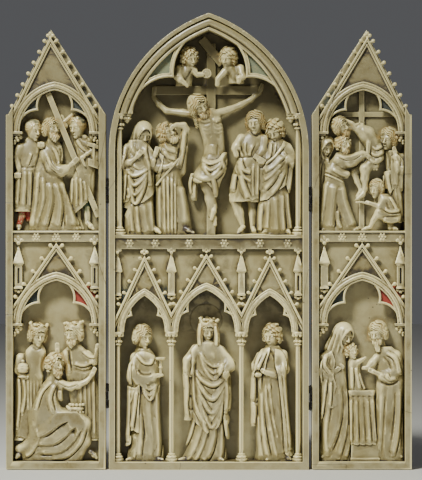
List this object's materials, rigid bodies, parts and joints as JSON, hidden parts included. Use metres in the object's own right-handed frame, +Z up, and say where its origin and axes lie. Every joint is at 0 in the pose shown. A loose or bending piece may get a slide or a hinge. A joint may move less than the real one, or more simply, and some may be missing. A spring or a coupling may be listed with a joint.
{
  "type": "triptych altarpiece",
  "caption": "Small carved ivory triptych with gabled wings that fold over an arched centre panel of figures in niches, joined by dark metal hinges.",
  "frame": {"origin": "on the standing surface, in the middle of the open triptych's whole width and depth", "axes": "+Z up, +X to the viewer's right, the carved front faces -Y and the plain back faces +Y"},
  "size_m": [0.2842, 0.0294, 0.32],
  "materials": {
    "ivory": "aged carved ivory, softly polished, with greenish brown dirt in the hollows and traces of old paint",
    "hinge_metal": "blackened metal, dull"
  },
  "bodies": {
    "centre": {"centre_panel": "ivory", "upper_left_hinge_centre_leaf": "hinge_metal", "upper_left_hinge_pin": "hinge_metal", "lower_left_hinge_centre_leaf": "hinge_metal", "lower_left_hinge_pin": "hinge_metal", "upper_right_hinge_centre_leaf": "hinge_metal", "upper_right_hinge_pin": "hinge_metal", "lower_right_hinge_centre_leaf": "hinge_metal", "lower_right_hinge_pin": "hinge_metal"},
    "left_wing": {"left_wing": "ivory", "upper_left_hinge_wing_leaf": "hinge_metal", "lower_left_hinge_wing_leaf": "hinge_metal"},
    "right_wing": {"right_wing": "ivory", "upper_right_hinge_wing_leaf": "hinge_metal", "lower_right_hinge_wing_leaf": "hinge_metal"}
  },
  "joints": [
    {"name": "left_wing_hinge", "type": "hinge", "parent": "centre", "child": "left_wing", "pos_m": [-0.0712, -0.01362, 0.12], "axis": [0, 0, 1], "range_deg": [-7, 180]},
    {"name": "right_wing_hinge", "type": "hinge", "parent": "centre", "child": "right_wing", "pos_m": [0.0712, -0.01362, 0.12], "axis": [0, 0, -1], "range_deg": [-7, 180]}
  ]
}
